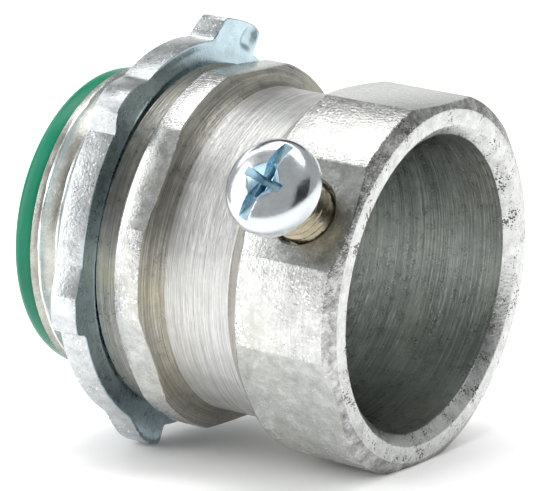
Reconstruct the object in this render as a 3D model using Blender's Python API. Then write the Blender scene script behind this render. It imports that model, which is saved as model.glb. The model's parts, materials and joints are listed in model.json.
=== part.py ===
"""Set-screw connector for 1 inch thin-wall conduit, with an insulated throat and a locknut.

The connector lies on its side. Its axis runs along X, with the conduit socket's mouth towards +X and the
thread towards -X. Lengths along the axis are measured back from the mouth's face, and angles round the axis
are measured from straight up (+Z) towards -Y. Sizes are in millimetres until they reach the meshes.
"""

import math

import bmesh
import bpy
from mathutils import Matrix, Vector

MM = 0.001
GAP = 0.3  # between pieces that touch on the real connector

# Body: turned from hexagon bar, so that the bar's flats are left on the band and on the collar.
HEX_ACROSS_FLATS = 36.5
TURNED_R = 19.05
MOUTH_OUTER_R = 17.7
MOUTH_INNER_R = 16.1
MOUTH_CHAMFER = 0.75
SOCKET_R = 15.0
SOCKET_CHAMFER = 1.1
SOCKET_DEPTH = 21.5
BAND_LENGTH = 10.7
NECK_R = 16.65
NECK_END = 20.7
COLLAR_FILLET = 1.1
COLLAR_START = 22.3
COLLAR_END = 25.1
BOSS_R = 18.0
BOSS_START = 25.8
SHOULDER = 28.0
THROAT_R = 13.0
LINER_SEAT_R = 13.95
LINER_SEAT_START = 27.5

# External straight thread of the 1 inch size: 33.0 mm over the crests, 11.5 turns to the inch.
THREAD_CREST_R = 16.5
THREAD_ROOT_R = 15.1
THREAD_PITCH = 25.4 / 11.5
THREAD_START = 29.0
THREAD_END = 37.0
BODY_LENGTH = 37.7
BODY_END_R = 16.2

# Throat liner: a thin plastic sleeve with a rolled lip over the thread's rim.
LINER_OUTER_R = LINER_SEAT_R - GAP
LINER_INNER_R = 12.6
LINER_START = LINER_SEAT_START + GAP
LIP_START = BODY_LENGTH + GAP
LIP_R = 15.8
LIP_LENGTH = 2.5
LIP_STEPS = 7
FLARE_R = 1.7  # rounds the way in at the lip
FLARE_STEPS = 5

# Locknut: a pressed ring with six teeth, which lean towards the mouth. It is loose on its thread, so it
# stands a little askew, and one side of it is up against the boss.
NUT_TILT = math.radians(2.8)
NUT_NEAR_SIDE = math.radians(80)
NUT_START = SHOULDER + GAP + BOSS_R * math.sin(NUT_TILT)
NUT_THICKNESS = 3.1
NUT_BORE_R = THREAD_CREST_R + 1.5 * GAP  # leaves room for the tilt
NUT_RIM_R = 20.15
NUT_BEND_R = 19.75  # the teeth are bent here
RIM_STEPS = 6  # between two teeth
TOOTH_R = 22.1
TOOTH_LEAN = 0.6
TOOTH_COUNT = 6
FIRST_TOOTH = math.radians(-16.5)
# A tooth's outline: degrees from its middle, and the share of its height reached there. The first tooth is
# spread by hammering.
TOOTH_OUTLINE = ((-13.0, 0.0), (-5.0, 0.8), (-1.0, 1.0), (4.0, 0.95), (7.0, 0.0))
SPREAD_OUTLINE = ((-11.5, 0.0), (-10.5, 1.05), (-6.5, 1.25), (9.5, 1.2), (11.5, 0.0))

# Set screw: a pan-head machine screw in a tapped hole through one flat of the band. Its head takes a
# cross driver or a flat one: a cross recess, with a shallow slot along one of its bars.
SCREW_ANGLE = math.radians(60)
SCREW_PLACE = 5.8
SCREW_SHANK_R = 3.0
SCREW_TIP = 15.15
SCREW_TIP_R = 2.3
HEAD_UNDERSIDE = 23.7
HEAD_R = 4.75
HEAD_RIM = 0.7
HEAD_HEIGHT = 2.9
HEAD_FULLNESS = 0.77  # 1 makes the head half an ellipse, and less makes it squarer
RECESS_TURN = math.radians(75)
RECESS_REACH = 2.85
RECESS_HALF_WIDTH = 0.55
RECESS_DEPTH = 2.1
RECESS_SPARE = 1.0  # how far its cutters stand above the head
RECESS_TAPER = 0.4
SLOT_WIDTH = 1.3
SLOT_DEPTH = 0.75
DOME_STEPS = 5

CUTTER_SPARE = 5.0  # how far a cutter runs past what it cuts

ROUND_STEPS = 60
SMALL_STEPS = 32
THREAD_STEPS = 6  # rings for each turn of the thread


def clear_scene():
    for old in list(bpy.data.objects):
        bpy.data.objects.remove(old)


def material(name, colour, roughness, metallic):
    made = bpy.data.materials.new(name)
    made.use_nodes = True
    shader = made.node_tree.nodes["Principled BSDF"]
    shader.inputs["Base Color"].default_value = (*colour, 1)
    shader.inputs["Roughness"].default_value = roughness
    shader.inputs["Metallic"].default_value = metallic
    return made


def make_object(name, bm, made_of, parent):
    """A smooth-shaded object from bm, whose faces are turned outwards."""
    bmesh.ops.recalc_face_normals(bm, faces=bm.faces)
    mesh = bpy.data.meshes.new(name)
    bm.to_mesh(mesh)
    bm.free()
    mesh.shade_smooth()
    mesh.set_sharp_from_angle(angle=math.radians(32))
    mesh.materials.append(made_of)
    made = bpy.data.objects.new(name, mesh)
    made.parent = parent
    bpy.context.scene.collection.objects.link(made)
    return made


def make_cutter(name, bm, parent):
    bmesh.ops.recalc_face_normals(bm, faces=bm.faces)
    mesh = bpy.data.meshes.new(name)
    bm.to_mesh(mesh)
    bm.free()
    made = bpy.data.objects.new(name, mesh)
    made.parent = parent
    made.hide_render = True
    made.display_type = "WIRE"
    bpy.context.scene.collection.objects.link(made)
    return made


def combine(target, cutter, operation):
    step = target.modifiers.new(cutter.name, "BOOLEAN")
    step.operation = operation
    step.solver = "EXACT"
    step.object = cutter


def turned(outline, steps, axis, closed):
    """Turns an outline about axis, X or Z. Each of its points is (place on the axis, radius)."""
    bm = bmesh.new()
    if axis == "X":
        points = [bm.verts.new((-place * MM, 0, radius * MM)) for place, radius in outline]
        about = (1, 0, 0)
    else:
        points = [bm.verts.new((radius * MM, 0, place * MM)) for place, radius in outline]
        about = (0, 0, 1)
    following = points[1:] + points[:1] if closed else points[1:]
    sides = [bm.edges.new(pair) for pair in zip(points, following)]
    bmesh.ops.spin(
        bm, geom=points + sides, cent=(0, 0, 0), axis=about, angle=math.tau, steps=steps, use_merge=True
    )
    bmesh.ops.remove_doubles(bm, verts=bm.verts, dist=1e-6)
    return bm


def arc(centre, radius, start, end, count):
    """Points of an arc in an outline, from start to end degrees, where 0 points along the axis."""
    place, height = centre
    angles = [math.radians(start + (end - start) * i / (count - 1)) for i in range(count)]
    return [(place + radius * math.cos(t), height + radius * math.sin(t)) for t in angles]


def thread_rings():
    """Places along the axis of the rings that carry the thread."""
    spacing = THREAD_PITCH / THREAD_STEPS
    count = int((THREAD_END - THREAD_START) / spacing)
    return [THREAD_START + (THREAD_END - THREAD_START) * i / count for i in range(count + 1)]


def thread_radius(place, turn):
    """Radius of a right-hand thread at a place on the axis and an angle about +X. It fades at both ends."""
    phase = math.cos(-math.tau * place / THREAD_PITCH - turn)
    height = 0.5 + 0.5 * phase
    run_in = min(1, (place - THREAD_START) / THREAD_PITCH)
    radius = THREAD_ROOT_R + (THREAD_CREST_R - THREAD_ROOT_R) * height * run_in
    lead_out = max(0, 1 - (THREAD_END - place) / (THREAD_PITCH / 3))
    return radius + (BODY_END_R - radius) * lead_out


def body(parent):
    outside = [
        (0, MOUTH_OUTER_R),
        (MOUTH_CHAMFER, TURNED_R),
        (BAND_LENGTH, TURNED_R),
        (BAND_LENGTH + TURNED_R - NECK_R, NECK_R),
        (NECK_END, NECK_R),
        *arc((NECK_END, NECK_R + COLLAR_FILLET), COLLAR_FILLET, -60, -15, 3),
        (COLLAR_START, TURNED_R),
        (COLLAR_END, TURNED_R),
        (BOSS_START, BOSS_R),
        (SHOULDER, BOSS_R),
        (SHOULDER, THREAD_ROOT_R),
    ]
    thread = [(place, THREAD_CREST_R) for place in thread_rings()]
    inside = [
        (BODY_LENGTH, BODY_END_R),
        (BODY_LENGTH, LINER_SEAT_R),
        (LINER_SEAT_START, LINER_SEAT_R),
        (LINER_SEAT_START, THROAT_R),
        (SOCKET_DEPTH, THROAT_R),
        (SOCKET_DEPTH, SOCKET_R),
        (SOCKET_CHAMFER, SOCKET_R),
        (0, MOUTH_INNER_R),
    ]
    bm = turned(outside + thread + inside, ROUND_STEPS, "X", closed=True)
    for vert in bm.verts:
        place = -vert.co.x / MM
        radius = math.hypot(vert.co.y, vert.co.z) / MM
        if THREAD_START - 0.01 < place < THREAD_END + 0.01 and radius > THREAD_ROOT_R:
            wanted = thread_radius(place, math.atan2(vert.co.z, vert.co.y))
            vert.co.yz *= wanted / radius
    zinc = material("body_zinc", (0.72, 0.73, 0.71), 0.32, 1)
    made = make_object("body", bm, zinc, parent)
    combine(made, hex_bar(parent), "INTERSECT")
    combine(made, screw_hole(parent), "DIFFERENCE")
    return made


def hex_bar(parent):
    """The bar that the body is turned from, with one flat straight up."""
    bm = bmesh.new()
    corner_r = HEX_ACROSS_FLATS / 2 / math.cos(math.radians(30)) * MM
    length = (BODY_LENGTH + 2 * CUTTER_SPARE) * MM
    bmesh.ops.create_cone(
        bm, cap_ends=True, segments=6, radius1=corner_r, radius2=corner_r, depth=length,
        matrix=Matrix.Translation((-BODY_LENGTH / 2 * MM, 0, 0)) @ Matrix.Rotation(math.pi / 2, 4, "Y"),
    )
    return make_cutter("hex_bar", bm, parent)


def outward(angle):
    """The direction away from the axis at an angle from straight up."""
    return Vector((0, -math.sin(angle), math.cos(angle)))


def screw_frame():
    """Turns +Z to the screw's outward direction, and places it at the screw on the connector's axis."""
    return Matrix.Translation((-SCREW_PLACE * MM, 0, 0)) @ Matrix.Rotation(SCREW_ANGLE, 4, "X")


def screw_hole(parent):
    bm = bmesh.new()
    radius = (SCREW_SHANK_R + GAP) * MM
    outside = HEX_ACROSS_FLATS / 2
    middle = (SOCKET_R + outside) / 2 * MM
    length = (outside - SOCKET_R + CUTTER_SPARE) * MM
    bmesh.ops.create_cone(
        bm, cap_ends=True, segments=SMALL_STEPS, radius1=radius, radius2=radius, depth=length,
        matrix=screw_frame() @ Matrix.Translation((0, 0, middle)),
    )
    return make_cutter("screw_hole", bm, parent)


def throat_liner(parent):
    lip_end = LIP_START + LIP_LENGTH
    roll = LIP_LENGTH / 2
    outline = [
        (LINER_START, LINER_OUTER_R),
        (LIP_START, LINER_OUTER_R),
        *arc((LIP_START + roll, LIP_R - roll), roll, 180, 0, LIP_STEPS),
        *arc((lip_end - FLARE_R, LINER_INNER_R + FLARE_R), FLARE_R, -15, -90, FLARE_STEPS),
        (LINER_START, LINER_INNER_R),
    ]
    bm = turned(outline, ROUND_STEPS, "X", closed=True)
    green = material("liner_green", (0.02, 0.33, 0.2), 0.42, 0)
    return make_object("throat_liner", bm, green, parent)


def nut_outline():
    """Angles from straight up and shares of the tooth's height, once round the locknut."""
    points = []
    pitch = 360 / TOOTH_COUNT
    outlines = [SPREAD_OUTLINE] + [TOOTH_OUTLINE] * (TOOTH_COUNT - 1)
    for tooth, (outline, following) in enumerate(zip(outlines, outlines[1:] + outlines[:1])):
        tooth_end, next_start = outline[-1][0], pitch + following[0][0]
        rim = [(tooth_end + (next_start - tooth_end) * i / RIM_STEPS, 0) for i in range(1, RIM_STEPS)]
        for offset, share in (*outline, *rim):
            points.append((FIRST_TOOTH + math.radians(tooth * pitch + offset), share))
    return points


def locknut(parent):
    """A ring whose section is drawn at each point of the outline, and joined to the next."""
    bm = bmesh.new()
    front, back = 0, NUT_THICKNESS
    rings = []
    for angle, share in nut_outline():
        rim = NUT_RIM_R + share * (TOOTH_R - NUT_RIM_R)
        lean = share * TOOTH_LEAN
        section = [
            (front, NUT_BORE_R), (front, NUT_BEND_R), (front - lean, rim),
            (back - lean, rim), (back, NUT_BEND_R), (back, NUT_BORE_R),
        ]
        places = [outward(angle) * radius - Vector((place, 0, 0)) for place, radius in section]
        rings.append([bm.verts.new(place * MM) for place in places])
    for ring, following in zip(rings, rings[1:] + rings[:1]):
        for i, vert in enumerate(ring):
            j = (i + 1) % len(ring)
            bm.faces.new((vert, ring[j], following[j], following[i]))
    zinc = material("locknut_zinc", (0.6, 0.65, 0.67), 0.3, 1)
    made = make_object("locknut", bm, zinc, parent)
    hinge = outward(NUT_NEAR_SIDE - math.pi / 2)
    made.matrix_local = Matrix.Translation((-NUT_START * MM, 0, 0)) @ Matrix.Rotation(NUT_TILT, 4, hinge)
    return made


def set_screw(parent):
    """The screw's own Z is its travel. Its origin is on the connector's axis."""
    top = HEAD_UNDERSIDE + HEAD_HEIGHT
    dome = HEAD_HEIGHT - HEAD_RIM
    rounds = [math.pi / 2 * i / DOME_STEPS for i in range(DOME_STEPS + 1)]
    outline = [
        (SCREW_TIP, 0),
        (SCREW_TIP, SCREW_TIP_R),
        (SCREW_TIP + SCREW_SHANK_R - SCREW_TIP_R, SCREW_SHANK_R),
        (HEAD_UNDERSIDE, SCREW_SHANK_R),
        (HEAD_UNDERSIDE, HEAD_R),
        *[
            (top - dome + dome * math.sin(t) ** HEAD_FULLNESS, HEAD_R * math.cos(t) ** HEAD_FULLNESS)
            for t in rounds
        ],
    ]
    bm = turned(outline, SMALL_STEPS, "Z", closed=False)
    plated = material("screw_zinc", (0.68, 0.7, 0.72), 0.16, 1)
    made = make_object("set_screw", bm, plated, parent)
    made.matrix_local = screw_frame()
    combine(made, cross_recess(parent), "DIFFERENCE")
    combine(made, driver_slot(parent), "DIFFERENCE")
    return made


def cross_recess(parent):
    """The driver's recess: a cross that narrows downwards."""
    long, wide = RECESS_REACH * MM, RECESS_HALF_WIDTH * MM
    quarter = [Vector((long, -wide, 0)), Vector((long, wide, 0)), Vector((wide, wide, 0))]
    top = (HEAD_UNDERSIDE + HEAD_HEIGHT + RECESS_SPARE) * MM
    floor = top - (RECESS_DEPTH + RECESS_SPARE) * MM
    bm = bmesh.new()
    corners = []
    for turn in range(4):
        rotation = Matrix.Rotation(RECESS_TURN + turn * math.pi / 2, 3, "Z")
        corners += [bm.verts.new(rotation @ corner + Vector((0, 0, top))) for corner in quarter]
    cross = bm.faces.new(corners)
    lower = bmesh.ops.extrude_face_region(bm, geom=[cross])["geom"]
    lower = [item for item in lower if isinstance(item, bmesh.types.BMVert)]
    for vert in lower:
        vert.co = Vector((vert.co.x * RECESS_TAPER, vert.co.y * RECESS_TAPER, floor))
    bmesh.ops.transform(bm, matrix=screw_frame(), verts=bm.verts)
    return make_cutter("cross_recess", bm, parent)


def driver_slot(parent):
    """The slot for a flat driver, right across the head."""
    height = (SLOT_DEPTH + RECESS_SPARE) * MM
    middle = (HEAD_UNDERSIDE + HEAD_HEIGHT + RECESS_SPARE) * MM - height / 2
    size = Matrix.Diagonal((2 * HEAD_R * MM, SLOT_WIDTH * MM, height, 1))
    place = Matrix.Translation((0, 0, middle)) @ Matrix.Rotation(RECESS_TURN, 4, "Z")
    bm = bmesh.new()
    bmesh.ops.create_cube(bm, size=1, matrix=screw_frame() @ place @ size)
    return make_cutter("driver_slot", bm, parent)


def stand_on_origin(frame, pieces):
    """Moves the frame so that the middle of the pieces' underside is at the origin."""
    bpy.context.view_layer.update()
    shapes = bpy.context.evaluated_depsgraph_get()
    corners = []
    for piece in pieces:
        seen = piece.evaluated_get(shapes)
        corners += [seen.matrix_world @ vert.co for vert in seen.data.vertices]
    low = Vector([min(corner[i] for corner in corners) for i in range(3)])
    high = Vector([max(corner[i] for corner in corners) for i in range(3)])
    frame.location = -Vector(((low.x + high.x) / 2, (low.y + high.y) / 2, low.z))


def main():
    clear_scene()
    frame = bpy.data.objects.new("connector_axis", None)
    bpy.context.scene.collection.objects.link(frame)
    pieces = [body(frame), throat_liner(frame), locknut(frame), set_screw(frame)]
    stand_on_origin(frame, pieces)


main()
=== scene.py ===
# %% [markdown]
# # A set-screw connector for thin-wall conduit
#
# This connector joins a 1 inch steel conduit to a box. It is four pieces: a body turned from hexagon bar, a
# green plastic liner pressed into its thread, a pressed steel locknut, and a pan-head screw that holds the
# conduit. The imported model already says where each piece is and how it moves. This lesson remakes the same
# four pieces with the fine shapes and finishes that the plain model leaves out.
#
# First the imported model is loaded. Every place below is worked out from its boxes.

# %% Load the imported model
import json
import math

import bmesh
import bpy
from mathutils import Matrix, Vector


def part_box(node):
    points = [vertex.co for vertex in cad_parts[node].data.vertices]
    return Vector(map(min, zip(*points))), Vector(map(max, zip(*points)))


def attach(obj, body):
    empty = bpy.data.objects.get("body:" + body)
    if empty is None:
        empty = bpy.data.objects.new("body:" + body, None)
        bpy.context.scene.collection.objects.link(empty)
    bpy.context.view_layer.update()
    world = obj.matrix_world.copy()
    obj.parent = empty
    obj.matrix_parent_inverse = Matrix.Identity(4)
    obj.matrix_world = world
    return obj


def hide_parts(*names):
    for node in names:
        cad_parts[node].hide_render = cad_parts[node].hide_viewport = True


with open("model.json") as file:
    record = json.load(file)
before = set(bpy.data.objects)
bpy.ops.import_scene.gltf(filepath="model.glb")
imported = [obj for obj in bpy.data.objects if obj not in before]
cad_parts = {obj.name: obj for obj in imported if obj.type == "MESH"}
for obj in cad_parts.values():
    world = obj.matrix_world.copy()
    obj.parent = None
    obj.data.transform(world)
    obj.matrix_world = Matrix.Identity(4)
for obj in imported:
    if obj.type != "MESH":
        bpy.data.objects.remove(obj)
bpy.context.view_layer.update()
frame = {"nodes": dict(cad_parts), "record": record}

MM = 0.001
body_low, body_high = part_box("body")
MOUTH = Vector((body_high.x, (body_low.y + body_high.y) / 2, (body_low.z + body_high.z) / 2))
print("nodes", sorted(frame["nodes"]), "mouth's middle at", [round(c / MM, 2) for c in MOUTH])

# %% [markdown]
# ## Helpers
#
# All four pieces are round, so they are made as on a lathe: an outline is drawn once and spun about the
# axis. An outline's corner is a place along the axis, measured back from the mouth, a radius, and how much
# of the corner is rounded off, all in millimetres. The rounding is a small curve between the two sides.


# %% Outlines and turning
def rounded(corners, steps=3):
    """Points of a closed outline, with each corner (place, radius, rounding) rounded off."""
    points = []
    for i, (place, radius, rounding) in enumerate(corners):
        here = Vector((place, radius))
        if rounding == 0:
            points.append(here)
            continue
        before = Vector(corners[i - 1][:2]) - here
        after = Vector(corners[(i + 1) % len(corners)][:2]) - here
        start = here + before.normalized() * rounding
        end = here + after.normalized() * rounding
        for k in range(steps + 1):
            t = k / steps
            points.append(start.lerp(here, t).lerp(here.lerp(end, t), t))
    return points


def turned(points, steps, closed=True):
    """Spins an outline about X. Its places run towards -X, and the mouth's face is at 0."""
    bm = bmesh.new()
    verts = [bm.verts.new((-place * MM, 0, radius * MM)) for place, radius in points]
    following = verts[1:] + verts[:1] if closed else verts[1:]
    edges = [bm.edges.new(pair) for pair in zip(verts, following)]
    bmesh.ops.spin(
        bm, geom=verts + edges, cent=(0, 0, 0), axis=(1, 0, 0), angle=math.tau, steps=steps, use_merge=True
    )
    bmesh.ops.remove_doubles(bm, verts=bm.verts, dist=1e-7)
    bmesh.ops.recalc_face_normals(bm, faces=bm.faces)
    return bm


def outward(angle):
    """The direction away from the axis at an angle from straight up, positive towards -Y."""
    return Vector((0, -math.sin(angle), math.cos(angle)))


def thread_height(turns, flat=0.12):
    """How high a thread stands, from 0 at its root to 1 at its crest, at a place counted in turns."""
    ramp = abs(turns % 1 * 2 - 1)
    return min(1, max(0, (ramp - flat) / (1 - 2 * flat)))


def shade_by_angle(bm, limit=28):
    """Smooth faces, with a crisp edge where two faces meet at more than limit degrees."""
    for face in bm.faces:
        face.smooth = True
    for edge in bm.edges:
        edge.smooth = len(edge.link_faces) == 2 and edge.calc_face_angle(0) < math.radians(limit)


# %% [markdown]
# A finished piece is put in its place in its mesh, so that its object stays at the origin. It then rides on
# its body of the imported model, stands for the plain node, and takes the materials that it is given.


# %% Making a piece
def make_piece(name, bm, node, *materials):
    """The object of a finished shape, with its materials, its body and the node it stands for."""
    shade_by_angle(bm)
    mesh = bpy.data.meshes.new(name)
    bm.to_mesh(mesh)
    bm.free()
    for material in materials:
        mesh.materials.append(material)
    piece = bpy.data.objects.new(name, mesh)
    bpy.context.scene.collection.objects.link(piece)
    body = next(body for body, nodes in frame["record"]["behaviour"]["bodies"].items() if node in nodes)
    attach(piece, body)
    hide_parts(node)
    return piece


def cut_away(bm, cutter, material=0):
    """bm with a cutter cut out of it by an exact Boolean. The cut faces get the material with that number."""
    made = []
    for face in cutter.faces:
        face.material_index = material
    for name, shape in (("blank", bm), ("cutter", cutter)):
        mesh = bpy.data.meshes.new(name)
        for slot in range(material + 1):
            mesh.materials.append(None)
        shape.to_mesh(mesh)
        shape.free()
        made.append(bpy.data.objects.new(name, mesh))
        bpy.context.scene.collection.objects.link(made[-1])
    blank, tool = made
    step = blank.modifiers.new("cut", "BOOLEAN")
    step.operation = "DIFFERENCE"
    step.solver = "EXACT"
    step.object = tool
    seen = blank.evaluated_get(bpy.context.evaluated_depsgraph_get())
    result = bmesh.new()
    result.from_mesh(seen.to_mesh())
    for item in made:
        bpy.data.objects.remove(item)
    return result


# %% [markdown]
# ## The zinc finish
#
# The steel is plated with bright zinc. Four things make it look like that and not like plain chrome: fine
# rings left by the lathe, which follow the place along the axis and the radius; a soft mottle of the plating
# that changes its tone and how sharp its reflections are; small dark pits, most of them on the rims; and
# frosty specks. The patterns are read from Object coordinates that are centred on the connector's axis.


# %% Node helpers
def new_material(name):
    material = bpy.data.materials.new(name)
    material.use_nodes = True
    return material, material.node_tree.nodes, material.node_tree.links


def add(nodes, kind, settings=None, **inputs):
    """A new node, with its own settings and the values of its sockets."""
    node = nodes.new(kind)
    for key, value in (settings or {}).items():
        setattr(node, key, value)
    for key, value in inputs.items():
        node.inputs[key.replace("_", " ")].default_value = value
    return node


def mixed(nodes, links, share, low, high):
    """A colour between two others, by a share that a pattern gives."""
    mix = add(nodes, "ShaderNodeMix", {"data_type": "RGBA"})
    links.new(share, mix.inputs["Factor"])
    for socket, colour in ((mix.inputs[6], low), (mix.inputs[7], high)):
        if isinstance(colour, tuple):
            socket.default_value = (*colour, 1)
        else:
            links.new(colour, socket)
    return mix.outputs[2]


def span(nodes, links, value, low, high, to_low, to_high):
    """Maps a pattern's values from one span to another, held at both ends."""
    node = add(nodes, "ShaderNodeMapRange", None, From_Min=low, From_Max=high, To_Min=to_low, To_Max=to_high)
    links.new(value, node.inputs["Value"])
    return node.outputs["Result"]


def noise(nodes, links, vector, scale, detail=3, roughness=0.6):
    node = add(nodes, "ShaderNodeTexNoise", None, Scale=scale, Detail=detail, Roughness=roughness)
    links.new(vector, node.inputs["Vector"])
    return node.outputs["Fac"]


# %% Coordinates for turned pieces
RING_WANDER = 0.012


def axis_coordinates(nodes, links):
    """Object coordinates centred on the axis, and the same as (along, radius) for lathe rings. A little of
    the place across the axis is added to the second, so that no ring is quite even all the way round."""
    where = add(nodes, "ShaderNodeTexCoord")
    centred = add(nodes, "ShaderNodeMapping", {"vector_type": "POINT"}, Location=-MOUTH)
    links.new(where.outputs["Object"], centred.inputs["Vector"])
    split = add(nodes, "ShaderNodeSeparateXYZ")
    links.new(centred.outputs["Vector"], split.inputs["Vector"])
    across = add(nodes, "ShaderNodeCombineXYZ")
    links.new(split.outputs["Y"], across.inputs["Y"])
    links.new(split.outputs["Z"], across.inputs["Z"])
    radius = add(nodes, "ShaderNodeVectorMath", {"operation": "LENGTH"})
    links.new(across.outputs["Vector"], radius.inputs[0])
    slow = add(nodes, "ShaderNodeVectorMath", {"operation": "SCALE"}, Scale=RING_WANDER)
    links.new(across.outputs["Vector"], slow.inputs[0])
    rings = add(nodes, "ShaderNodeCombineXYZ")
    links.new(split.outputs["X"], rings.inputs["X"])
    links.new(radius.outputs["Value"], rings.inputs["Y"])
    lathe = add(nodes, "ShaderNodeVectorMath", {"operation": "ADD"})
    links.new(rings.outputs["Vector"], lathe.inputs[0])
    links.new(slow.outputs["Vector"], lathe.inputs[1])
    return centred.outputs["Vector"], lathe.outputs["Vector"]


# %% Specks
def dots(nodes, links, vector, scale, spread, most):
    """1 inside small round dots that come in clusters, 0 outside."""
    spots = add(nodes, "ShaderNodeTexVoronoi", {"feature": "F1"}, Scale=scale)
    links.new(vector, spots.inputs["Vector"])
    size = span(nodes, links, noise(nodes, links, vector, spread), 0.42, 0.66, 0, most)
    inside = add(nodes, "ShaderNodeMath", {"operation": "LESS_THAN"})
    links.new(spots.outputs["Distance"], inside.inputs[0])
    links.new(size, inside.inputs[1])
    return inside.outputs["Value"]


# %% [markdown]
# One function makes all the kinds of zinc. A scale is how many features there are in a metre, so 6500 makes
# rings about 0.15 mm apart. The tone between light and dark comes from the mottle and the rings together.
# The mottle also sets the roughness, and the rings the bump, so that a groove is darker and deeper in the
# same place, as a real one is.

# %% Zinc plating
BLOTCH_SCALE, RING_SCALE, GRAIN_SCALE, STAIN_SCALE = 620, 6500, 3600, 130
PIT_SCALE, PIT_SPREAD, PIT_BLACK = 4000, 500, (0.1, 0.1, 0.09)
FROST_SCALE, FROST_SPREAD, FROST_WHITE = 2300, 330, (0.95, 0.96, 0.95)
STAIN_YELLOW = (0.6, 0.56, 0.3)
BUMP_STRENGTH, BUMP_HEIGHT = 0.7, 0.04 * MM


def zinc(
    name, light, dark, roughness, rings=0.0, lines=0.0, mottle=0.0, pits=0.0, frost=0.0, grain=0.3, stain=0.0
):
    """Bright zinc in two tones. roughness is (low, high); rings is the depth of the lathe's grooves and
    lines how much they change the tone; mottle is how blotchy it is; pits and frost are how many specks;
    grain is how rough the plating's skin is, and stain how yellow its patches are."""
    material, nodes, links = new_material(name)
    shader = nodes["Principled BSDF"]
    shader.inputs["Metallic"].default_value = 1.0
    centred, lathe = axis_coordinates(nodes, links)
    blotch = span(nodes, links, noise(nodes, links, centred, BLOTCH_SCALE, 7, 0.8), 0.32, 0.68, 0, 1)
    groove = span(nodes, links, noise(nodes, links, lathe, RING_SCALE, 4, 0.75), 0.3, 0.7, 0, 1)
    fine = noise(nodes, links, centred, GRAIN_SCALE)
    tone = add(nodes, "ShaderNodeMath", {"operation": "MULTIPLY"})
    links.new(span(nodes, links, blotch, 0, 1, 1 - mottle, 1), tone.inputs[0])
    links.new(span(nodes, links, groove, 0, 1, 1 - lines, 1), tone.inputs[1])
    colour = mixed(nodes, links, tone.outputs["Value"], dark, light)
    if stain:
        patches = span(nodes, links, noise(nodes, links, centred, STAIN_SCALE), 0.5, 0.75, 0, stain)
        colour = mixed(nodes, links, patches, colour, STAIN_YELLOW)
    if frost:
        specks = dots(nodes, links, centred, FROST_SCALE, FROST_SPREAD, frost)
        colour = mixed(nodes, links, specks, colour, FROST_WHITE)
    if pits:
        specks = dots(nodes, links, centred, PIT_SCALE, PIT_SPREAD, pits)
        colour = mixed(nodes, links, specks, colour, PIT_BLACK)
    links.new(colour, shader.inputs["Base Color"])
    links.new(span(nodes, links, blotch, 0, 1, *roughness), shader.inputs["Roughness"])
    height = add(nodes, "ShaderNodeMath", {"operation": "MULTIPLY_ADD"})
    links.new(groove, height.inputs[0])
    height.inputs[1].default_value = rings
    links.new(span(nodes, links, fine, 0, 1, 0, grain), height.inputs[2])
    bump = add(nodes, "ShaderNodeBump", None, Strength=BUMP_STRENGTH, Distance=BUMP_HEIGHT)
    links.new(height.outputs["Value"], bump.inputs["Height"])
    links.new(bump.outputs["Normal"], shader.inputs["Normal"])
    return material


# %% [markdown]
# Each surface was made in another way, so it gets its own mix. The flats are the bar's own drawn skin. The
# neck was turned with a coarse feed and shows its rings most. The rims and chamfers were knocked about
# before plating and are pitted. The bore's darker tones are painted shade of the inside of the socket. The
# locknut is pressed from smooth bluish sheet, and only its cut edge is as light and rough as the body.

# %% Finishes
bar_zinc = zinc(
    "bar_zinc", (0.64, 0.65, 0.64), (0.26, 0.27, 0.25), (0.2, 0.32), mottle=0.8,
    frost=0.18, pits=0.15, grain=0.9, stain=0.15,
)
band_zinc = zinc(
    "band_zinc", (0.8, 0.8, 0.79), (0.3, 0.3, 0.29), (0.18, 0.32), rings=0.5, lines=0.4, mottle=0.8,
    frost=0.4, pits=0.25, grain=2.6, stain=0.12,
)
neck_zinc = zinc(
    "neck_zinc", (0.97, 0.97, 0.96), (0.26, 0.26, 0.25), (0.3, 0.44), rings=2.6, lines=0.75, mottle=0.25,
    stain=0.1,
)
fillet_zinc = zinc(
    "fillet_zinc", (0.7, 0.68, 0.63), (0.12, 0.11, 0.09), (0.24, 0.38), rings=2.2, lines=0.9, mottle=0.5,
    stain=0.3,
)
rim_zinc = zinc(
    "rim_zinc", (0.74, 0.75, 0.74), (0.34, 0.34, 0.33), (0.22, 0.36), mottle=0.9, pits=0.5, grain=2.4
)
chamfer_zinc = zinc(
    "chamfer_zinc", (0.7, 0.7, 0.69), (0.06, 0.06, 0.05), (0.16, 0.32), mottle=1.0, pits=0.4, grain=3.6
)
# The bore's darker tones are painted shade of the inside of the socket.
shaded_bore_zinc = zinc(
    "shaded_bore_zinc", (0.5, 0.52, 0.5), (0.1, 0.115, 0.1), (0.22, 0.38), rings=2.6, lines=0.9, mottle=0.6,
    stain=0.1,
)
thread_zinc = zinc("thread_zinc", (0.8, 0.8, 0.77), (0.4, 0.39, 0.35), (0.2, 0.3), mottle=0.7, rings=0.4)
nut_zinc = zinc("nut_zinc", (0.5, 0.62, 0.67), (0.22, 0.31, 0.35), (0.22, 0.34), mottle=0.7)
edge_zinc = zinc(
    "edge_zinc", (0.66, 0.68, 0.69), (0.34, 0.36, 0.37), (0.24, 0.38), mottle=0.9,
    frost=0.35, pits=0.25, grain=2.0,
)
# The shank's yellow-brown is the chromate of its plating; its darker tones are painted shade under the
# overhanging head.
shank_zinc_and_shade = zinc("shank_zinc_and_shade", (0.42, 0.36, 0.27), (0.2, 0.19, 0.12), (0.2, 0.34), mottle=0.9, grain=0.4)
screw_zinc = zinc("screw_zinc", (0.66, 0.69, 0.71), (0.5, 0.53, 0.56), (0.15, 0.24), mottle=0.8, grain=0.35)
print("materials so far", len(bpy.data.materials), "with those of the plain model")

# %% [markdown]
# ## The body
#
# The body is turned from hexagon bar. Two bands keep the full size of the bar, the one round the socket and
# the collar behind the neck, so both show the bar's six flats with the corners turned round. It is made in
# two steps: the round outline is spun first, and then six planes cut the flats.

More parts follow.
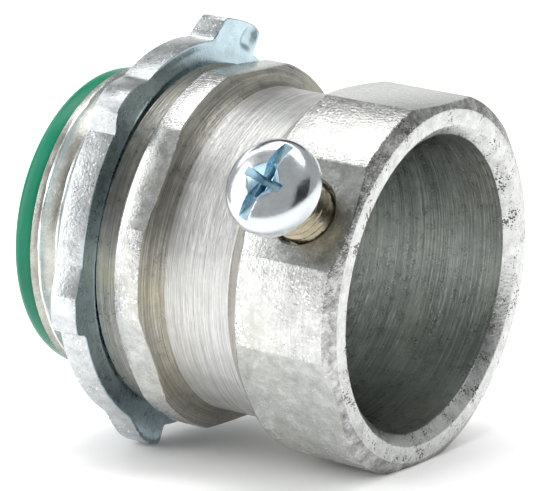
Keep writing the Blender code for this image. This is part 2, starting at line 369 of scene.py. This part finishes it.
# %% Body sizes
SOCKET_R, SOCKET_DEPTH, SOCKET_CHAMFER = 15.0, 21.5, 1.1
MOUTH_RING_R = (16.1, 17.7)
MOUTH_CHAMFER = 0.75
BAR_R = 19.05
FLAT = 18.25  # from the axis to a flat of the bar
BAND_LENGTH = 10.7
NECK_R = 16.65
NECK = (13.1, 20.9)
COLLAR = (22.3, 25.1)
BOSS_R = 18.0
SHOULDER = 28.0
THREAD_CREST_R, THREAD_ROOT_R = 16.5, 15.1
THREAD_PITCH = 25.4 / 11.5
THREAD = (29.0, 37.0)
END = 37.7
END_R = 16.2
SEAT_R, SEAT_START = 13.95, 27.5
THROAT_R = 13.0
FLANK_R = THREAD_ROOT_R + 0.5  # any radius between the thread's root and its crest
BOSS_STEP = 0.1  # how much further back the boss reaches here than in the plain model
EDGE_BEVEL = 0.11
ROUND_STEPS = 240
print("body", 2 * FLAT, "mm across its flats, socket", 2 * SOCKET_R, "mm, thread", 2 * THREAD_CREST_R, "mm")


# %% Body outline
def even_corners(first, last, count, radius):
    """Corners of a straight stretch that is fine enough to carry a thread."""
    return [(first + (last - first) * i / count, radius, 0) for i in range(count)]


outside = [
    (0, MOUTH_RING_R[0], 0), (0, MOUTH_RING_R[1], 0), (MOUTH_CHAMFER, BAR_R, 0), (BAND_LENGTH, BAR_R, 0),
    (NECK[0], NECK_R, 0.35), (NECK[1], NECK_R, 0.6), (21.75, 17.45, 0.3), (COLLAR[0], BAR_R, 0),
    (COLLAR[1], BAR_R, 0), (25.8, BOSS_R, 0.1), (SHOULDER + BOSS_STEP, BOSS_R, 0),
    (SHOULDER + BOSS_STEP, THREAD_ROOT_R, 0), *even_corners(*THREAD, 62, FLANK_R), (THREAD[1], FLANK_R, 0),
    (END - 0.35, FLANK_R, 0), (END, END_R, 0),
]
inside = [
    (END, SEAT_R, 0), (SEAT_START, SEAT_R, 0), (SEAT_START, THROAT_R, 0), (SOCKET_DEPTH, THROAT_R, 0.3),
    (SOCKET_DEPTH, SOCKET_R, 0.4), (SOCKET_CHAMFER, SOCKET_R, 0),
]
body = turned(rounded(outside + inside), ROUND_STEPS)
print("body blank", len(body.faces), "faces")


# %% Cut the thread
def thread_radius(place, turn):
    """A right-hand thread that fades in behind the shoulder and is turned down at its end."""
    height = thread_height(-place / THREAD_PITCH - turn / math.tau)
    run_in = min(1, (place - THREAD[0]) / (0.6 * THREAD_PITCH))
    radius = THREAD_ROOT_R + (THREAD_CREST_R - THREAD_ROOT_R) * height * run_in
    return min(radius, END_R + (END - place) * 0.9)


for vert in body.verts:
    place, radius = -vert.co.x / MM, math.hypot(vert.co.y, vert.co.z) / MM
    if THREAD[0] - 0.01 < place < END - 0.01 and radius > THREAD_ROOT_R:
        vert.co.yz *= thread_radius(place, math.atan2(vert.co.z, vert.co.y)) / radius
print("thread of", round((END - THREAD[0]) / THREAD_PITCH, 1), "turns")

# %% [markdown]
# A plane through each flat cuts off what stands outside it, and the two openings that it leaves, one on the
# band and one on the collar, are filled. Then all crisp edges get a narrow bevel. Without it they would
# show as hard lines, and real plated edges always show a thin bright one.

# %% Cut the flats and round the edges
for turn in range(6):
    normal = outward(math.radians(60 * turn))
    everything = body.verts[:] + body.edges[:] + body.faces[:]
    bmesh.ops.bisect_plane(
        body, geom=everything, dist=3e-5, plane_co=normal * FLAT * MM, plane_no=normal, clear_outer=True,
    )
    bmesh.ops.edgeloop_fill(body, edges=[edge for edge in body.edges if edge.is_boundary])
bmesh.ops.dissolve_degenerate(body, dist=1e-5, edges=body.edges)


def crisp_edges(bm, limit, first, last):
    """Edges sharper than limit degrees whose places are between first and last."""
    found = []
    for edge in bm.edges:
        places = [-vert.co.x / MM for vert in edge.verts]
        if first <= min(places) and max(places) <= last and edge.calc_face_angle(0) > math.radians(limit):
            found.append(edge)
    return found


bmesh.ops.bevel(
    body, geom=crisp_edges(body, 13, -1, SHOULDER + BOSS_STEP + 0.01), offset=EDGE_BEVEL * MM,
    offset_type="OFFSET", segments=2, profile=0.5, affect="EDGES", material=-1, clamp_overlap=False,
)
print("body with flats", len(body.faces), "faces")

# %% [markdown]
# The set screw's hole goes through the flat that faces up and to the left. It is tapped, so the tool that
# cuts it is a short threaded bar, a little thicker than the screw, with a cone that breaks the hole's edge.

# %% Tap the hole
SCREW_ANGLE = math.radians(60)
SCREW_PLACE = 5.8
SCREW_R = 3.0
SCREW_PITCH = 25.4 / 24
SCREW_STEPS = 96
CLEARANCE = 0.3  # between pieces, as in the plain model
TAP_DEPTH = 0.3  # of the hole's thread
screw_frame = (
    Matrix.Translation((-SCREW_PLACE * MM, 0, 0)) @ Matrix.Rotation(SCREW_ANGLE, 4, "X")
    @ Matrix.Rotation(math.radians(90), 4, "Y")
)


def threaded_bar(corners, first, last, root, crest):
    """A bar along the screw's line, with a thread on the stretch from first to last."""
    bm = turned(rounded(corners), SCREW_STEPS, closed=False)
    for vert in bm.verts:
        place, radius = -vert.co.x / MM, math.hypot(vert.co.y, vert.co.z) / MM
        if first < place < last and radius > root - 0.01:
            height = thread_height(-place / SCREW_PITCH - math.atan2(vert.co.z, vert.co.y) / math.tau)
            fade = min(1, (place - first) / SCREW_PITCH, (last - place) / SCREW_PITCH)
            vert.co.yz *= (root + (crest - root) * height * fade) / radius
    return bm


hole_r = SCREW_R + CLEARANCE
tap = threaded_bar(
    [(SOCKET_R - 1, 0, 0), *even_corners(SOCKET_R - 1, FLAT - 0.25, 32, hole_r), (FLAT - 0.25, hole_r, 0),
     (FLAT + 0.5, hole_r + 0.75, 0), (FLAT + 0.5, 0, 0)],
    SOCKET_R - 1, FLAT - 0.2, hole_r, hole_r + TAP_DEPTH,
)
bmesh.ops.transform(tap, matrix=screw_frame, verts=tap.verts)
bmesh.ops.recalc_face_normals(tap, faces=tap.faces)
body = cut_away(body, tap)
print("hole", round(2 * hole_r, 1), "mm wide")

# %% [markdown]
# The body is one piece of steel with many finishes, so each face is given its own by where it lies: how far
# back from the mouth, how far from the axis, and whether it is still part of one of the bar's flats.

# %% Give each part of the body its finish
BODY_FINISHES = (
    neck_zinc, bar_zinc, band_zinc, fillet_zinc, rim_zinc, chamfer_zinc, shaded_bore_zinc, thread_zinc
)


def body_finish(face):
    """The finish of a face, by its place, its radius and whether it lies on a flat of the bar."""
    middle = face.calc_center_median() / MM
    place, radius = -middle.x, math.hypot(middle.y, middle.z)
    if place < SOCKET_CHAMFER + 0.05:
        return chamfer_zinc if radius > MOUTH_RING_R[1] - 0.05 else rim_zinc
    if radius < SOCKET_R + 0.4 and place < SHOULDER:
        return shaded_bore_zinc
    if place > SHOULDER - 0.1:
        return thread_zinc
    flats = [outward(math.radians(60 * turn)) for turn in range(6)]
    if any(face.normal.dot(flat) > 0.9999 and middle.dot(flat) > FLAT - 0.05 for flat in flats):
        return bar_zinc
    if place < BAND_LENGTH + 0.1 or COLLAR[0] - 0.1 < place < COLLAR[1] + 0.1:
        return band_zinc
    return fillet_zinc if BAND_LENGTH < place < NECK[0] or place > NECK[1] - 0.2 else neck_zinc


body.normal_update()
for face in body.faces:
    face.material_index = BODY_FINISHES.index(body_finish(face))
bmesh.ops.translate(body, vec=MOUTH, verts=body.verts)
connector_body = make_piece("connector_body", body, "body", *BODY_FINISHES)

# %% [markdown]
# ## The throat liner
#
# The liner is a thin green plastic sleeve inside the thread, with a lip rolled over the thread's rim. It
# keeps the cut edge of the steel away from the wires. Its plastic is moulded, so it has no lathe marks,
# only the faint waviness of a moulded skin, and a soft broad highlight.

# %% Green plastic
CLOUD_SCALE, SKIN_SCALE = 160, 900
DEEP_GREEN, LIGHT_GREEN = (0.0, 0.105, 0.055), (0.001, 0.17, 0.092)
liner_green, nodes, links = new_material("liner_green")
shader = nodes["Principled BSDF"]
centred, _ = axis_coordinates(nodes, links)
cloud = noise(nodes, links, centred, CLOUD_SCALE)
links.new(mixed(nodes, links, cloud, DEEP_GREEN, LIGHT_GREEN), shader.inputs["Base Color"])
links.new(span(nodes, links, cloud, 0.3, 0.7, 0.24, 0.36), shader.inputs["Roughness"])
skin = add(nodes, "ShaderNodeBump", None, Strength=0.3, Distance=0.1 * MM)
links.new(noise(nodes, links, centred, SKIN_SCALE, detail=2), skin.inputs["Height"])
links.new(skin.outputs["Normal"], shader.inputs["Normal"])
shader.inputs["IOR"].default_value = 1.46
shader.inputs["Specular IOR Level"].default_value = 0.25
print("made", liner_green.name)

# %% Turn the liner
LINER_R = (12.6, 13.65)
LINER_START = 27.8
LIP_START, LIP_END, LIP_R = 37.78, 40.5, 15.8
liner = turned(
    rounded([
        (LINER_START, LINER_R[1], 0.1), (LIP_START, LINER_R[1], 0.15), (LIP_START, LIP_R, 0.7),
        (LIP_END, LIP_R, 1.3), (LIP_END, LINER_R[0] + 0.9, 0.7), (LIP_END - 1.6, LINER_R[0], 0.9),
        (LINER_START, LINER_R[0], 0.1),
    ], steps=8),
    ROUND_STEPS,
)
bmesh.ops.translate(liner, vec=MOUTH, verts=liner.verts)
green_liner = make_piece("green_liner", liner, "throat_liner", liner_green)

# %% [markdown]
# ## The locknut
#
# The locknut is stamped from sheet steel: a ring with a thread in its bore and six teeth, which are bent a
# little towards the mouth so that a screwdriver can tap it round. The ring's section is spun first. Then the
# outer rings of points are moved out to the teeth's outline and forwards for the bend. The first tooth is
# spread and dented, as if it had been hammered.

# %% Locknut sizes
NUT_TILT = math.radians(2.8)
NUT_NEAR_SIDE = math.radians(80)
NUT_START = SHOULDER + CLEARANCE + BOSS_R * math.sin(NUT_TILT)
NUT_THICKNESS = 3.1
NUT_BORE_R, NUT_ROOT_R = 16.95, 17.7
NUT_RIM_R, TOOTH_R = 20.15, 22.1
NUT_BEND_R = 19.3
TOOTH_LEAN = 0.6
NUT_DISH = 0.15  # how far the face round the bore stands forward
DENT_DEPTH = 0.45  # of the hammer mark on the first tooth
FIRST_TOOTH, TOOTH_STEP = -16.5, 60  # degrees from straight up
TOOTH_OUTLINE = ((-13.0, 0.0), (-5.0, 0.8), (-1.0, 1.0), (4.0, 0.95), (7.0, 0.0))
SPREAD_OUTLINE = ((-11.5, 0.0), (-10.5, 1.05), (-6.5, 1.25), (9.5, 1.2), (11.5, 0.0))


# %% Outline of the teeth
def tooth_share(degrees):
    """How much of a tooth's full height its outline has at an angle from straight up."""
    outline = SPREAD_OUTLINE if abs(degrees - FIRST_TOOTH) < TOOTH_STEP / 2 else TOOTH_OUTLINE
    offset = (degrees - FIRST_TOOTH + TOOTH_STEP / 2) % TOOTH_STEP - TOOTH_STEP / 2
    for (a, low), (b, high) in zip(outline, outline[1:]):
        if a <= offset <= b:
            return low + (high - low) * (offset - a) / (b - a)
    return 0


def soft_tooth_share(degrees):
    """The same with its corners rounded, by taking the middle of seven near angles."""
    return sum(tooth_share(degrees + 0.3 * i) for i in range(-3, 4)) / 7


print("a tooth stands out", round(TOOTH_R - NUT_RIM_R, 2), "mm, one every", TOOTH_STEP, "degrees")

# %% [markdown]
# The ring's faces need enough rings of points for the bend and the dent to look smooth. Most of them stand
# close together near the rim. The bore needs many too, to carry its thread.

# %% Spin the ring
bore = even_corners(NUT_THICKNESS - 0.3, 0.3, 24, NUT_BORE_R)
face_radii = [NUT_BORE_R + 0.5 + 1.9 * i / 6 for i in range(6)] + [NUT_BEND_R + 0.06 * i for i in range(11)]
nut = turned(
    rounded(
        [(0, r, 0) for r in face_radii] + [(0, NUT_RIM_R, 0.2), (NUT_THICKNESS, NUT_RIM_R, 0.12)]
        + [(NUT_THICKNESS, r, 0) for r in reversed(face_radii)] + bore + [(0.3, NUT_BORE_R, 0)],
    ),
    360,
)
print("ring", len(nut.faces), "faces")

# %% [markdown]
# Now every point is moved to where the press would have pushed the steel: outwards and forwards in a tooth,
# back a little in the dent, forwards round the bore, and in and out for the thread.

# %% Press the teeth and cut the thread
for vert in nut.verts:
    place, radius = -vert.co.x / MM, math.hypot(vert.co.y, vert.co.z) / MM
    turn = math.atan2(vert.co.z, vert.co.y)
    if radius > NUT_BEND_R:
        share = soft_tooth_share(math.degrees(math.atan2(-vert.co.y, vert.co.z)))
        reach = (radius - NUT_BEND_R) / (NUT_RIM_R - NUT_BEND_R)
        vert.co.yz *= 1 + reach * share * (TOOTH_R - NUT_RIM_R) / radius
        vert.co.x += share * reach ** 2 * TOOTH_LEAN * MM
        if place < 0.3:
            offset = math.degrees(math.atan2(-vert.co.y, vert.co.z)) - FIRST_TOOTH
            dent = math.exp(-((offset + 6) / 3.2) ** 4 - ((reach - 0.6) / 0.33) ** 4)
            vert.co.x -= DENT_DEPTH * MM * dent
    if place < 0.01 and radius < NUT_BEND_R:
        vert.co.x += NUT_DISH * MM * min(1, (NUT_BEND_R - radius) / 1.2)
    if radius < NUT_BORE_R + 0.01:
        height = thread_height(-place / THREAD_PITCH - turn / math.tau)
        fade = min(1, place / 0.8, (NUT_THICKNESS - place) / 0.8)
        vert.co.yz *= (NUT_BORE_R + (NUT_ROOT_R - NUT_BORE_R) * height * max(0, fade)) / radius
print("locknut threads", round(NUT_THICKNESS / THREAD_PITCH, 1), "turns")

# %% [markdown]
# The nut sits a little askew, so its near side lies closer to the boss. It is turned about a line across
# the axis and then moved to its place.

# %% Seat the locknut
hinge = outward(NUT_NEAR_SIDE - math.pi / 2)
seat = Matrix.Translation((-NUT_START * MM, 0, 0)) @ Matrix.Rotation(NUT_TILT, 4, hinge)
bmesh.ops.transform(nut, matrix=Matrix.Translation(MOUTH) @ seat, verts=nut.verts)
bmesh.ops.recalc_face_normals(nut, faces=nut.faces)
for face in nut.faces:
    middle = face.calc_center_median() - MOUTH
    on_edge = abs(face.normal.x) < 0.6 and math.hypot(middle.y, middle.z) / MM > NUT_BEND_R
    face.material_index = int(on_edge)
stamped_locknut = make_piece("stamped_locknut", nut, "locknut", nut_zinc, edge_zinc)

# %% [markdown]
# ## The set screw
#
# The screw has a pan head that takes a cross driver or a flat one. Its head and threaded shank are one
# outline, spun like the rest. The recess is cut in three steps, as a punch would form it: a cross that
# narrows downwards, a shallow slot along one of its bars, and a small four-sided funnel that breaks the
# corners between the bars. The punched faces get their own finish, because they are smoother and bluer.

# %% Recess finish
BLOOM_SCALE = 700
DEEP_BLUE, PALE_BLUE = (0.26, 0.46, 0.6), (0.62, 0.8, 0.88)
recess_blue, nodes, links = new_material("recess_blue")
shader = nodes["Principled BSDF"]
shader.inputs["Metallic"].default_value = 1.0
centred, _ = axis_coordinates(nodes, links)
bloom = noise(nodes, links, centred, BLOOM_SCALE)
links.new(mixed(nodes, links, bloom, DEEP_BLUE, PALE_BLUE), shader.inputs["Base Color"])
links.new(span(nodes, links, bloom, 0.3, 0.7, 0.2, 0.36), shader.inputs["Roughness"])
print("made", recess_blue.name)

# %% Screw sizes and shank
SCREW_TIP = 15.15
SCREW_ROOT_R = SCREW_R - 0.45
HEAD_UNDERSIDE, HEAD_HEIGHT, HEAD_R, HEAD_RIM = 23.7, 2.9, 4.75, 0.7
HEAD_TOP = HEAD_UNDERSIDE + HEAD_HEIGHT
dome = HEAD_HEIGHT - HEAD_RIM
FULLNESS = 0.77  # 1 makes an elliptical crown, less makes it flatter on top and rounder at the side
rounds = [math.pi / 2 * i / 20 for i in range(21)]
crown = [
    (HEAD_TOP - dome + dome * math.sin(t) ** FULLNESS, HEAD_R * max(0, math.cos(t)) ** FULLNESS, 0)
    for t in rounds
]
screw = threaded_bar(
    [(SCREW_TIP, 0, 0), (SCREW_TIP, 2.2, 0.2), *even_corners(SCREW_TIP + 0.8, HEAD_UNDERSIDE, 78, SCREW_R),
     (HEAD_UNDERSIDE, SCREW_R, 0), (HEAD_UNDERSIDE, HEAD_R, 0.12), *crown],
    SCREW_TIP + 0.5, HEAD_UNDERSIDE - 0.1, SCREW_ROOT_R, SCREW_R,
)
bmesh.ops.recalc_face_normals(screw, faces=screw.faces)
print("screw blank", len(screw.faces), "faces")

# %% [markdown]
# A punch is a four-sided block with sloped sides. Its top stands SPARE above the head, so its sides are
# drawn on beyond the sizes wanted at the head itself.

# %% Recess sizes and punches
RECESS_TURN = math.radians(75)
RECESS_REACH, RECESS_HALF_WIDTH, RECESS_DEPTH, RECESS_TAPER = 2.85, 0.55, 2.1, 0.4
SLOT_WIDTH, SLOT_DEPTH, SLOT_TAPER = 1.35, 0.75, 0.85
FUNNEL_WIDTH, FUNNEL_FLOOR, FUNNEL_DEPTH = 6.2, 0.5, 0.95
SPARE = 1.0
PUNCH_BEVEL = 0.06
punch_frame = Matrix.Translation((0, 0, HEAD_TOP * MM)) @ Matrix.Rotation(RECESS_TURN, 4, "Z")
to_screw = Matrix.Rotation(math.radians(-90), 4, "Y")


def punch(size_top, size_floor, depth):
    """A four-sided block from SPARE above the head down to depth, with its sides sloped."""
    bm = bmesh.new()
    bmesh.ops.create_cube(bm, size=1)
    for vert in bm.verts:
        x, y = size_top if vert.co.z > 0 else size_floor
        vert.co = Vector((vert.co.x * x, vert.co.y * y, SPARE if vert.co.z > 0 else -depth)) * MM
    return bm


def punched(bm, cutter, turn):
    """The screw after one punch, with the faces that it made in the recess finish."""
    matrix = to_screw @ punch_frame @ Matrix.Rotation(turn, 4, "Z")
    bmesh.ops.transform(cutter, matrix=matrix, verts=cutter.verts)
    return cut_away(bm, cutter, material=1)


def cross_bar():
    size = (2 * RECESS_REACH, 2 * RECESS_HALF_WIDTH)
    return punch(size, (size[0] * RECESS_TAPER, size[1] * RECESS_TAPER), RECESS_DEPTH)


# %% Punch the recess
slot_bar = punch((2 * HEAD_R, SLOT_WIDTH), (2 * HEAD_R, SLOT_WIDTH * SLOT_TAPER), SLOT_DEPTH)
funnel = punch((FUNNEL_WIDTH, FUNNEL_WIDTH), (FUNNEL_FLOOR, FUNNEL_FLOOR), FUNNEL_DEPTH)
for cutter, turn in ((cross_bar(), 0), (cross_bar(), math.pi / 2), (slot_bar, 0), (funnel, math.pi / 4)):
    screw = punched(screw, cutter, turn)
bmesh.ops.remove_doubles(screw, verts=screw.verts, dist=2e-6)
bmesh.ops.dissolve_degenerate(screw, dist=2e-6, edges=screw.edges)
bmesh.ops.bevel(
    screw, geom=crisp_edges(screw, 24, HEAD_UNDERSIDE + HEAD_RIM + 0.1, HEAD_TOP + 1),
    offset=PUNCH_BEVEL * MM, offset_type="OFFSET", segments=2, profile=0.5, affect="EDGES", material=-1,
    clamp_overlap=True,
)
print("punched screw", len(screw.faces), "faces")

# %% Seat the screw
bmesh.ops.transform(screw, matrix=Matrix.Translation(MOUTH) @ screw_frame, verts=screw.verts)
for face in screw.faces:
    if (screw_frame.inverted() @ (face.calc_center_median() - MOUTH)).x >= -HEAD_UNDERSIDE * MM:
        # The shank's finish carries painted shade under the head as well as its chromate tint.
        face.material_index = 2  # the shank's finish
pan_head_screw = make_piece("pan_head_screw", screw, "set_screw", screw_zinc, recess_blue, shank_zinc_and_shade)

# %% [markdown]
# ## The floor, the camera and the light
#
# The connector can't stand level by itself: it rests on the lowest tooth of its locknut and on the front
# edge of the band's lowest flat. So the floor slopes a little, from the tooth up to the band. Floor and
# surroundings are white. Bright metal shows only what is round it, so most of its greys come from dark and
# grey cards outside the view, and from the shape of the large soft lights.

# %% Floor
FLOOR_SIZE = 3  # metres from its middle to an edge, which is never seen
FLOOR_WHITE = (0.86, 0.86, 0.86)
tooth = min((vert.co for vert in stamped_locknut.data.vertices), key=lambda co: co.z)
band = min((vert.co for vert in connector_body.data.vertices), key=lambda co: (round(co.z, 5), -co.x))
slope = math.atan2(band.z - tooth.z, band.x - tooth.x)
bm = bmesh.new()
bmesh.ops.create_grid(bm, x_segments=2, y_segments=2, size=FLOOR_SIZE)
bmesh.ops.transform(
    bm, matrix=Matrix.Translation(tooth) @ Matrix.Rotation(-slope, 4, "Y"), verts=bm.verts
)
mesh = bpy.data.meshes.new("floor")
bm.to_mesh(mesh)
bm.free()
floor = bpy.data.objects.new("floor", mesh)
bpy.context.scene.collection.objects.link(floor)
floor_white, nodes, links = new_material("floor_white")
nodes["Principled BSDF"].inputs["Base Color"].default_value = (*FLOOR_WHITE, 1)
nodes["Principled BSDF"].inputs["Roughness"].default_value = 0.8
mesh.materials.append(floor_white)
print("floor slopes", round(math.degrees(slope), 1), "degrees")

# %% [markdown]
# A long lens from 31 cm away keeps the round mouth and the round nut nearly free of perspective. The three
# directions are the camera's own right, up and back, and its place is given in steps along them.

# %% Camera
LENS = 214.1
RIGHT = Vector((0.8265, 0.5597, 0.0603))
UP = Vector((-0.1807, 0.1624, 0.97))
BACK = Vector((0.5332, -0.8126, 0.2354))
camera_data = bpy.data.cameras.new("camera")
camera_data.lens = LENS
camera = bpy.data.objects.new("camera", camera_data)
place = MOUTH + (RIGHT * -16.32 + UP * 4.08 + BACK * 314.0) * MM
turn = Matrix((RIGHT, UP, BACK)).transposed().to_quaternion().to_matrix().to_4x4()
camera.matrix_world = Matrix.Translation(place) @ turn
bpy.context.scene.collection.objects.link(camera)
bpy.context.scene.camera = camera
print("camera", round((place - MOUTH).length / MM), "mm from the mouth")

# %% [markdown]
# A softbox is a large lamp that lights the connector and is seen in its reflections. A card gives no light
# that counts and casts no shadow: only reflections see it, as a white, grey or dark shape.


# %% Softboxes and cards
MIDDLE = Vector((0, 0, 0.02))


def facing(place):
    """A frame at place whose -Z looks at the connector's middle."""
    return Matrix.Translation(place) @ (place - MIDDLE).to_track_quat("Z", "Y").to_matrix().to_4x4()


def softbox(name, direction, distance, size, watts):
    """A lamp of size (width, height), at a distance from the origin, that looks at the connector."""
    light = bpy.data.lights.new(name, "AREA")
    light.shape = "RECTANGLE"
    light.size, light.size_y = size
    light.energy = watts
    made = bpy.data.objects.new(name, light)
    made.matrix_world = facing(Vector(direction).normalized() * distance)
    bpy.context.scene.collection.objects.link(made)
    return made


def card(name, direction, distance, size, grey):
    """A card that only reflections see."""
    bm = bmesh.new()
    bmesh.ops.create_grid(bm, x_segments=1, y_segments=1, size=0.5)
    scale = Matrix.Diagonal((*size, 1, 1))
    bmesh.ops.transform(bm, matrix=facing(Vector(direction).normalized() * distance) @ scale, verts=bm.verts)
    mesh = bpy.data.meshes.new(name)
    bm.to_mesh(mesh)
    bm.free()
    made = bpy.data.objects.new(name, mesh)
    paint, nodes, links = new_material(name)
    glow = add(nodes, "ShaderNodeEmission", None, Color=(*grey, 1))
    links.new(glow.outputs["Emission"], nodes["Material Output"].inputs["Surface"])
    mesh.materials.append(paint)
    made.visible_camera = made.visible_diffuse = made.visible_shadow = False
    bpy.context.scene.collection.objects.link(made)


# %% [markdown]
# The surround is white for everything but reflections, which see it as grey. A white room all round would
# turn bright zinc white as well, and the rings and flats would be lost.

# %% Surround
SURROUND_GREY, SURROUND_WHITE, WHITE_STRENGTH = (0.5, 0.51, 0.51), (1, 1, 1), 1.2
world = bpy.data.worlds.new("studio")
world.use_nodes = True
nodes, links = world.node_tree.nodes, world.node_tree.links
surround = nodes["Background"]
surround.inputs["Color"].default_value = (*SURROUND_GREY, 1)
white = add(nodes, "ShaderNodeBackground", None, Color=(*SURROUND_WHITE, 1), Strength=WHITE_STRENGTH)
path = add(nodes, "ShaderNodeLightPath")
either = add(nodes, "ShaderNodeMixShader")
links.new(path.outputs["Is Glossy Ray"], either.inputs["Fac"])
links.new(white.outputs["Background"], either.inputs[1])
links.new(surround.outputs["Background"], either.inputs[2])
links.new(either.outputs["Shader"], nodes["World Output"].inputs["Surface"])
bpy.context.scene.world = world
bpy.context.scene.view_settings.view_transform = "Standard"
print("surround", world.name)

# %% Place the lights and the cards
softbox("overhead", (-0.533, 0.1, 0.838), 0.7, (0.36, 0.9), 2.8)
fill = softbox("floor_fill", (0.1, 0.2, 1), 1.2, (1.2, 1.2), 2)
fill.visible_glossy = False
card("back_white", (-0.533, 0.8126, 0.2354), 0.6, (0.6, 0.2), (1.3, 1.3, 1.3))
card("back_dark", (-0.533, 0.5, 0.68), 0.6, (0.7, 0.2), (0.03, 0.03, 0.035))
card("front_grey", (-0.533, -0.61, 0.586), 0.6, (0.16, 0.16), (0.3, 0.3, 0.29))
card("right_dark", (0.7, -0.5, 0.5), 0.6, (0.6, 0.45), (0.05, 0.05, 0.055))
softbox("front_left", (-0.9, -0.6, 0.3), 0.6, (0.3, 0.5), 1.6)
softbox("top_spot", (0.04, -0.08, 1), 0.7, (0.22, 0.16), 1.0)
